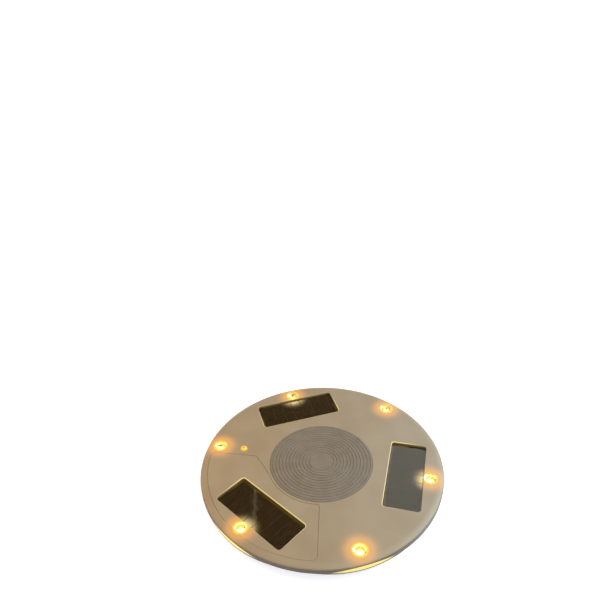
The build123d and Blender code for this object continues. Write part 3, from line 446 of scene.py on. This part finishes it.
def sensor_lens():
    """Amber lens over the dusk sensor, darker at its tip and its rim, with a painted glow for the light
    of the lamp beside it.
    """
    body, tip, rim = (1.0, 0.55, 0.10), (0.34, 0.17, 0.0), (0.42, 0.30, 0.03)
    finish = Finish("sensor_lens", IOR=1.49, Transmission_Weight=0.25)
    finish.drive("Roughness", finish.span(finish.noise(1 * MM, 2.0), 0.3, 0.7, 0.05, 0.12))
    x, y, _ = finish.axes()
    place = middle("sensor_lens")
    off = plane_length(finish, finish.math("SUBTRACT", x, place.x), finish.math("SUBTRACT", y, place.y))
    tone = finish.mix(finish.span(off, 1.5 * MM, 0.7 * MM), body, tip)
    tone = finish.mix(finish.span(off, 2.6 * MM, 3.9 * MM), tone, rim)
    finish.drive("Base Color", tone)
    # painted lamp light: the lens glows in its own tone
    finish.drive("Emission Color", tone)
    finish.set("Emission Strength", 0.42)
    return finish


def metal(name, dark, light):
    """Worn metal with a fine grain."""
    finish = Finish(name, Metallic=1.0)
    grain = finish.noise(0.6 * MM)
    cloud = finish.noise(4 * MM)
    share = finish.math("ADD", finish.math("MULTIPLY", grain, 0.5), finish.math("MULTIPLY", cloud, 0.5))
    finish.drive("Base Color", finish.mix(finish.span(share, 0.3, 0.7), dark, light))
    finish.drive("Roughness", finish.span(share, 0.3, 0.7, 0.25, 0.45))
    finish.relief(grain, 0.01 * MM, 0.2 * MM)
    return finish


BARE_END = 1.9 * MM                           # how much of a cell's end its sleeve leaves bare


def battery_jacket():
    """A cell's plain shrink sleeve between its bare steel ends."""
    finish = Finish("battery_jacket")
    low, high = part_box("battery_cell_1")
    half = (high.x - low.x) / 2
    centre = middle("battery_cell_1").x
    off = finish.math("ABSOLUTE", finish.math("SUBTRACT", finish.axes()[0], centre))
    bare = finish.math("GREATER_THAN", off, half - BARE_END)
    cloud = finish.noise(6 * MM)
    sleeve = finish.mix(finish.span(cloud, 0.3, 0.7), (0.05, 0.16, 0.13), (0.07, 0.21, 0.17))
    finish.drive("Base Color", finish.mix(bare, sleeve, (0.62, 0.6, 0.56)))
    finish.drive("Metallic", bare)
    finish.drive("Roughness", finish.span(cloud, 0.3, 0.7, 0.28, 0.4))
    finish.relief(cloud, 0.02 * MM)
    return finish


def dark_plastic(name, tone):
    """Plain plastic of an inner piece, which varies a little about its tone."""
    dark = tuple(value * 0.8 for value in tone)
    light = tuple(value * 1.2 for value in tone)
    return mottled(name, dark, light, (0.42, 0.6), cloud=8 * MM)


def paint_nodes():
    """Give every CAD node the finish of its material slot, and return all finishes by name."""
    finishes = {
        "deck_plastic": deck_plastic(),
        "tray_plastic": tray_plastic(),
        "pad_rubber": pad_rubber(),
        "foot_rubber": foot_rubber(),
        "guide_plastic": guide_plastic(),
        "gasket_rubber": gasket_rubber(),
        "panel_glass": panel_glass(),
        "solar_cells": silicon(),
        "circuit_board": circuit_board(),
        "lens_clear": lens_clear(),
        "reflector_white": reflector_white(),
        "led_package": led_package(),
        "sensor_lens": sensor_lens(),
        "sensor_can": dark_plastic("sensor_can", (0.03, 0.025, 0.015)),
        "steel": metal("steel", (0.42, 0.41, 0.39), (0.62, 0.6, 0.57)),
        "battery_jacket": battery_jacket(),
        "inner_plastic": dark_plastic("inner_plastic", (0.035, 0.035, 0.037)),
        "knob_plastic": dark_plastic("knob_plastic", (0.04, 0.04, 0.042)),
        "ferrite": dark_plastic("ferrite", (0.05, 0.05, 0.052)),
        "capacitor_can": metal("capacitor_can", (0.5, 0.5, 0.5), (0.66, 0.66, 0.67)),
        "lead_sheath": dark_plastic("lead_sheath", (0.25, 0.03, 0.025)),
        "ribbon": metal("ribbon", (0.05, 0.035, 0.02), (0.09, 0.06, 0.035)),
    }
    for subpart in frame["record"]["subparts"]:
        mesh = nodes[subpart["node"]].data
        mesh.materials.clear()
        mesh.materials.append(finishes[subpart["material_slot"]].material)
    return finishes


# ---------------------------------------------------------------- floor and lights
ROOM = (0.62, 0.61, 0.60)
# areas of the room: azimuth, elevation, half-width of the even part, half-width of the whole, colour
SKY_AREAS = (
    (86, 50, 16, 34, (0.16, 0.10, 0.04)),
    (50, 45, 10.5, 14.5, (1.02, 1.02, 0.90)),
)
FLOOR_REACH = 30.0
FLOOR_GLOW = (0.88, 0.90, 1.0)
FLOOR_GLOW_STRENGTH = 0.68
SUN_SPREAD = radians(70)
# azimuth, elevation, distance, size, radiance and colour of each box of light
SOFTBOXES = {
    "rim_light": (0, 25, 1.0, (0.6, 0.4), 1.8, (0.95, 1.0, 1.0)),
    "cool_side": (340, 38, 0.42, (0.2, 0.2), 7.951, (0.283, 0.576, 1.0)),
    "warm_side": (170, 38, 0.42, (0.2, 0.2), 2.958, (1.0, 0.478, 0.0)),
    "strip": (86.9, 54, 2.0, (0.012, 0.9), 0.8, (1.0, 0.9, 0.5)),
}
STRIP_ROLL = radians(-12)
LAMP_POWER = 0.003                            # watts
LAMP_SIZE = 1.5 * MM
LAMP_LIGHT = (1.0, 0.5, 0.16)
LAMP_DEPTH = 1.0 * MM                         # below the top of its lens


def lay_floor():
    """A plain pale floor under the feet, with a slight glow that keeps the shadow under the rim faint."""
    mesh = bpy.data.meshes.new("floor")
    far = FLOOR_REACH
    mesh.from_pydata([(-far, -far, 0), (far, -far, 0), (far, far, 0), (-far, far, 0)], [], [(0, 1, 2, 3)])
    floor = bpy.data.objects.new("floor", mesh)
    bpy.context.scene.collection.objects.link(floor)
    finish = Finish("floor_paper", Roughness=0.9)
    clouds = finish.noise(0.4, 2.0)
    finish.drive("Base Color", finish.mix(clouds, (0.93, 0.93, 0.93), (0.95, 0.95, 0.95)))
    finish.set("Emission Color", colour_value(FLOOR_GLOW))
    finish.set("Emission Strength", FLOOR_GLOW_STRENGTH)
    floor.data.materials.append(finish.material)


def direction(azimuth, elevation):
    """The way towards a place in the sky, given in degrees."""
    azimuth, elevation = radians(azimuth), radians(elevation)
    return Vector((cos(azimuth) * cos(elevation), sin(azimuth) * cos(elevation), sin(elevation)))


def softbox(name, azimuth, elevation, distance, size, radiance, colour):
    """A rectangular area light that faces the disc and that the camera doesn't see."""
    lamp = bpy.data.lights.new(name, "AREA")
    lamp.shape = "RECTANGLE"
    lamp.size, lamp.size_y = size
    lamp.energy = radiance * pi * size[0] * size[1]
    lamp.color = colour
    light = bpy.data.objects.new(name, lamp)
    way = direction(azimuth, elevation)
    light.location = way * distance
    light.rotation_euler = way.to_track_quat("Z", "Y").to_euler()
    light.visible_camera = False
    bpy.context.scene.collection.objects.link(light)
    return light


def surround():
    """The room: pale all round, with a dark warm area behind the disc and a bright card to its right."""
    world = bpy.data.worlds.new("surround")
    world.use_nodes = True
    tree = world.node_tree
    way = tree.nodes.new("ShaderNodeTexCoord").outputs["Generated"]
    colour = None
    for azimuth, elevation, inner, outer, tone in SKY_AREAS:
        dot = tree.nodes.new("ShaderNodeVectorMath")
        dot.operation = "DOT_PRODUCT"
        dot.inputs[1].default_value = direction(azimuth, elevation)
        share = tree.nodes.new("ShaderNodeMapRange")
        share.interpolation_type = "SMOOTHSTEP"
        share.inputs["From Min"].default_value = cos(radians(outer))
        share.inputs["From Max"].default_value = cos(radians(inner))
        blend = tree.nodes.new("ShaderNodeMix")
        blend.data_type = "RGBA"
        tree.links.new(way, dot.inputs[0])
        tree.links.new(dot.outputs["Value"], share.inputs["Value"])
        tree.links.new(share.outputs[0], blend.inputs[0])
        if colour is None:
            blend.inputs[6].default_value = colour_value(ROOM)
        else:
            tree.links.new(colour, blend.inputs[6])
        blend.inputs[7].default_value = colour_value(tone)
        colour = blend.outputs[2]
    tree.links.new(colour, tree.nodes["Background"].inputs[0])
    bpy.context.scene.world = world


def sun(name, azimuth, elevation, strength, colour):
    """Even soft light from one side."""
    lamp = bpy.data.lights.new(name, "SUN")
    lamp.energy = strength
    lamp.angle = SUN_SPREAD
    lamp.color = colour
    light = bpy.data.objects.new(name, lamp)
    light.rotation_euler = direction(azimuth, elevation).to_track_quat("Z", "Y").to_euler()
    bpy.context.scene.collection.objects.link(light)


def light_studio():
    """Soft studio light: the room, a wide key light, a low light for the rim on the right, a cool light
    on the right, a warm one on the left, and a thin strip that shows as a streak in the left panel."""
    surround()
    sun("key", azimuth=340, elevation=62, strength=1.018, colour=(1.0, 0.925, 0.508))
    boxes = {name: softbox(name, *values) for name, values in SOFTBOXES.items()}
    boxes["cool_side"].visible_glossy = boxes["warm_side"].visible_glossy = False
    boxes["strip"].rotation_euler.rotate_axis("Z", STRIP_ROLL)


def light_lamps():
    """A small warm light in each lens, for the light that a lit lamp throws on the deck."""
    for number, place in enumerate(LAMPS, start=1):
        lamp = bpy.data.lights.new(f"lamp_glow_{number}", "POINT")
        lamp.energy = LAMP_POWER
        lamp.shadow_soft_size = LAMP_SIZE
        lamp.color = LAMP_LIGHT
        light = bpy.data.objects.new(lamp.name, lamp)
        light.location = (place.x, place.y, LENS_TOP - LAMP_DEPTH)
        light.visible_camera = light.visible_glossy = light.visible_transmission = False
        bpy.context.scene.collection.objects.link(light)


def open_to_light():
    """Clear pieces cast no shadow, and the lit cups and diodes don't light the pieces round them."""
    for node, piece in nodes.items():
        if node.startswith(("lamp_lens", "panel_glass", "sensor_lens")):
            piece.visible_shadow = False
        if node.startswith(("lamp_led", "lamp_reflector")):
            piece.visible_diffuse = False


# ---------------------------------------------------------------- detailed pieces
LATHE_STEPS = 128
SHARP_EDGE = radians(35)
IN_PLACE = Matrix()                           # for a mesh whose points are given where they belong


def add_piece(name, data, finish):
    """A new piece with its finish, which rides on the housing."""
    piece = bpy.data.objects.new(name, data)
    piece.data.materials.append(finish.material)
    bpy.context.scene.collection.objects.link(piece)
    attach(piece, "housing")
    return piece


def lathe(name, outline, place):
    """A mesh turned about Z from (radius, height) points that start and end on the axis."""
    vertices = [(0, 0, outline[0][1])]
    for radius, height in outline[1:-1]:
        for step in range(LATHE_STEPS):
            turn = 2 * pi * step / LATHE_STEPS
            vertices.append((radius * cos(turn), radius * sin(turn), height))
    vertices.append((0, 0, outline[-1][1]))
    rings = len(outline) - 2
    faces = []
    for step in range(LATHE_STEPS):
        after = (step + 1) % LATHE_STEPS
        faces.append((0, 1 + after, 1 + step))
        for level in range(rings - 1):
            low, high = 1 + level * LATHE_STEPS, 1 + (level + 1) * LATHE_STEPS
            faces.append((low + step, low + after, high + after, high + step))
        last = 1 + (rings - 1) * LATHE_STEPS
        faces.append((last + step, last + after, len(vertices) - 1))
    mesh = bpy.data.meshes.new(name)
    mesh.from_pydata([place @ Vector(vertex) for vertex in vertices], [], faces)
    mesh.shade_smooth()
    mesh.set_sharp_from_angle(angle=SHARP_EDGE)
    return mesh


BOX_CORNERS = 8                               # a corner's three bits are its sides in X, Y and Z
BOX_FACES = ((0, 2, 3, 1), (4, 5, 7, 6), (0, 1, 5, 4), (2, 6, 7, 3), (0, 4, 6, 2), (1, 3, 7, 5))


def slabs(name, boxes, place):
    """A mesh of flat boxes, each given by its limits in X, Y and Z."""
    vertices = []
    faces = []
    for box in boxes:
        first = len(vertices)
        for corner in range(BOX_CORNERS):
            vertices.append([limits[corner >> axis & 1] for axis, limits in enumerate(box)])
        for face in BOX_FACES:
            faces.append([first + corner for corner in face])
    mesh = bpy.data.meshes.new(name)
    mesh.from_pydata([place @ Vector(vertex) for vertex in vertices], [], faces)
    return mesh


def soften(piece, width):
    """Small rounded edges on a piece."""
    bevel = piece.modifiers.new("edges", "BEVEL")
    bevel.width = width
    bevel.segments = 2
    bevel.limit_method = "ANGLE"


STRIPS = 8                                    # solar cells side by side in a panel
STRIP_GAP = 0.3 * MM                          # from a cell's edge to its strip's edge
CELL_THICKNESS = 0.12 * MM
RIBBON_HALF = 0.3 * MM                        # half of a ribbon's width


def lay_cells(finishes):
    """Each panel's strips of solar cell on their sheet, with the ribbons that collect the current."""
    low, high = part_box("panel_cells_rear")
    half_length, half_width = (high.x - low.x) / 2, (high.y - low.y) / 2
    top = high.z - 0.06 * MM
    strip = 2 * half_length / STRIPS
    edge = half_width - 0.9 * MM
    tiles = [((-half_length, half_length), (-half_width, half_width), (low.z, top - 0.1 * MM))]
    ribbons = []
    for number in range(STRIPS):
        start = -half_length + number * strip
        centre = start + strip / 2
        cell = (start + STRIP_GAP, start + strip - STRIP_GAP)
        tiles.append((cell, (-edge, edge), (top - CELL_THICKNESS, top)))
        across = (centre - RIBBON_HALF, centre + RIBBON_HALF)
        ribbons.append((across, (-edge, edge), (top - 0.05 * MM, top + 0.03 * MM)))
    rail = (-half_length + STRIP_GAP, half_length - STRIP_GAP)
    for side in (-1, 1):
        across = tuple(sorted((side * (edge + 0.15 * MM), side * (edge + 0.6 * MM))))
        ribbons.append((rail, across, (top - CELL_THICKNESS, top + 0.02 * MM)))
    for name in PANELS:
        centre = middle(f"panel_cells_{name}")
        turn = Matrix.Rotation(atan2(centre.y, centre.x) - FIRST_PANEL, 4, "Z")
        place = Matrix.Translation((centre.x, centre.y, 0)) @ turn
        cells = slabs("cells", tiles, place)
        sheet = add_piece(f"solar_cells_{name}", cells, finishes["solar_cells"])
        soften(sheet, 0.03 * MM)
        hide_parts(f"panel_cells_{name}")
        lines = slabs("ribbons", ribbons, place)
        soften(add_piece(f"cell_ribbons_{name}", lines, finishes["ribbon"]), 0.02 * MM)


def turn_pad(finishes):
    """The pot's pad with shallow concentric grooves and a soft edge."""
    low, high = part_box("pot_rest_pad")
    radius = high.x
    depth, width, pitch = 0.35 * MM, 0.7 * MM, 3.5 * MM
    border, plain_middle = 2.2 * MM, 12 * MM
    outline = [
        (0, low.z),
        (radius - 0.3 * MM, low.z),
        (radius, low.z + 0.3 * MM),
        (radius, high.z - 0.4 * MM),
        (radius - 0.1 * MM, high.z - 0.12 * MM),
        (radius - 0.4 * MM, high.z),
    ]
    place = radius - border
    while place > plain_middle:
        for inward, down in ((0, 0), (0.2, 1), (0.8, 1), (1, 0)):
            outline.append((place - inward * width, high.z - down * depth))
        place -= pitch
    outline.append((0, high.z))
    pad = add_piece("pot_pad", lathe("pot_pad", outline, IN_PLACE), finishes["pad_rubber"])
    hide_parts("pot_rest_pad")


def cell_outline(length, radius):
    """One AA cell from its flat end to its button, as (radius, height) points in metres."""
    nub = length - 1.3 * MM
    edge = radius - 0.5 * MM
    return [
        (0, 0.25 * MM),
        (4.6 * MM, 0.25 * MM),
        (5.0 * MM, 0.0),
        (edge - 0.4 * MM, 0.0),
        (edge, 0.3 * MM),
        (edge + 0.1 * MM, 0.9 * MM),
        (radius, 1.1 * MM),
        (radius, nub - 1.7 * MM),
        (radius - 0.2 * MM, nub - 1.3 * MM),
        (edge - 0.1 * MM, nub - 1.1 * MM),
        (edge - 0.1 * MM, nub - 0.3 * MM),
        (edge - 0.5 * MM, nub),
        (5.2 * MM, nub),
        (4.9 * MM, nub - 0.35 * MM),
        (3.1 * MM, nub - 0.35 * MM),
        (2.9 * MM, nub - 0.1 * MM),
        (2.7 * MM, length - 0.3 * MM),
        (2.4 * MM, length),
        (0, length),
    ]


def fill_bay(finishes):
    """The two cells, which lie head to tail, and their conical springs."""
    along = Matrix.Rotation(pi / 2, 4, "Y")
    for number in (1, 2):
        low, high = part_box(f"battery_cell_{number}")
        centre = (low + high) / 2
        length, radius = high.x - low.x, (high.z - low.z) / 2
        facing = Matrix.Rotation(0 if centre.y > 0 else pi, 4, "Z")
        place = Matrix.Translation(centre) @ facing @ along @ Matrix.Translation((0, 0, -length / 2))
        cell = lathe("cell", cell_outline(length, radius), place)
        cell = add_piece(f"battery_aa_{number}", cell, finishes["battery_jacket"])
        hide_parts(f"battery_cell_{number}")
        wind_spring(number, centre, length, facing, finishes)


WIRE = 0.45 * MM                              # radius of the springs' wire
PLATE = 0.5 * MM                              # thickness of a spring's backing plate
PLATE_HALF = 5.0 * MM
SPRING_TURNS = 4.25
SPRING_STEPS = 30                             # points in each turn
SPRING_RADIUS, SPRING_TAPER = 3.6, 1.0        # mm


def wind_spring(number, centre, length, facing, finishes):
    """A conical spring between its backing plate and a cell's flat end."""
    low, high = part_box("battery_springs")
    back = (high.x - low.x) / 2
    axis = facing @ Vector((1, 0, 0))
    room = back - PLATE - length / 2 + centre.x * axis.x
    foot = Vector((-axis.x * (back - PLATE), centre.y, centre.z))
    start, stop = WIRE * 0.9, room - WIRE * 0.9
    curve = bpy.data.curves.new("spring", "CURVE")
    curve.dimensions = "3D"
    curve.bevel_depth = WIRE
    curve.bevel_resolution = 4
    curve.use_fill_caps = True
    count = int(SPRING_TURNS * SPRING_STEPS)
    spline = curve.splines.new("POLY")
    spline.points.add(count)
    for step in range(count + 1):
        share = step / count
        angle = 2 * pi * SPRING_TURNS * share
        climb = min(1, max(0, share * 1.3 - 0.15))  # the end turns lie flat
        rise = start + (stop - start) * climb
        radius = (SPRING_RADIUS - SPRING_TAPER * share) * MM
        place = foot + Vector((axis.x * rise, radius * cos(angle), radius * sin(angle)))
        spline.points[step].co = (*place, 1)
    spring = add_piece(f"battery_spring_{number}", curve, finishes["steel"])
    face = tuple(sorted((-axis.x * back, -axis.x * (back - PLATE))))
    sides = [(value - PLATE_HALF, value + PLATE_HALF) for value in (centre.y, centre.z)]
    backing = slabs("backing", [(face, *sides)], IN_PLACE)
    backing = add_piece(f"battery_spring_plate_{number}", backing, finishes["steel"])
    soften(backing, 0.15 * MM)
    if number == 1:
        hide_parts("battery_springs")


# ---------------------------------------------------------------- build
place_camera()
lay_floor()
light_studio()
light_lamps()
finishes = paint_nodes()
lay_cells(finishes)
turn_pad(finishes)
fill_bay(finishes)
open_to_light()
bpy.context.scene.view_settings.view_transform = "Standard"
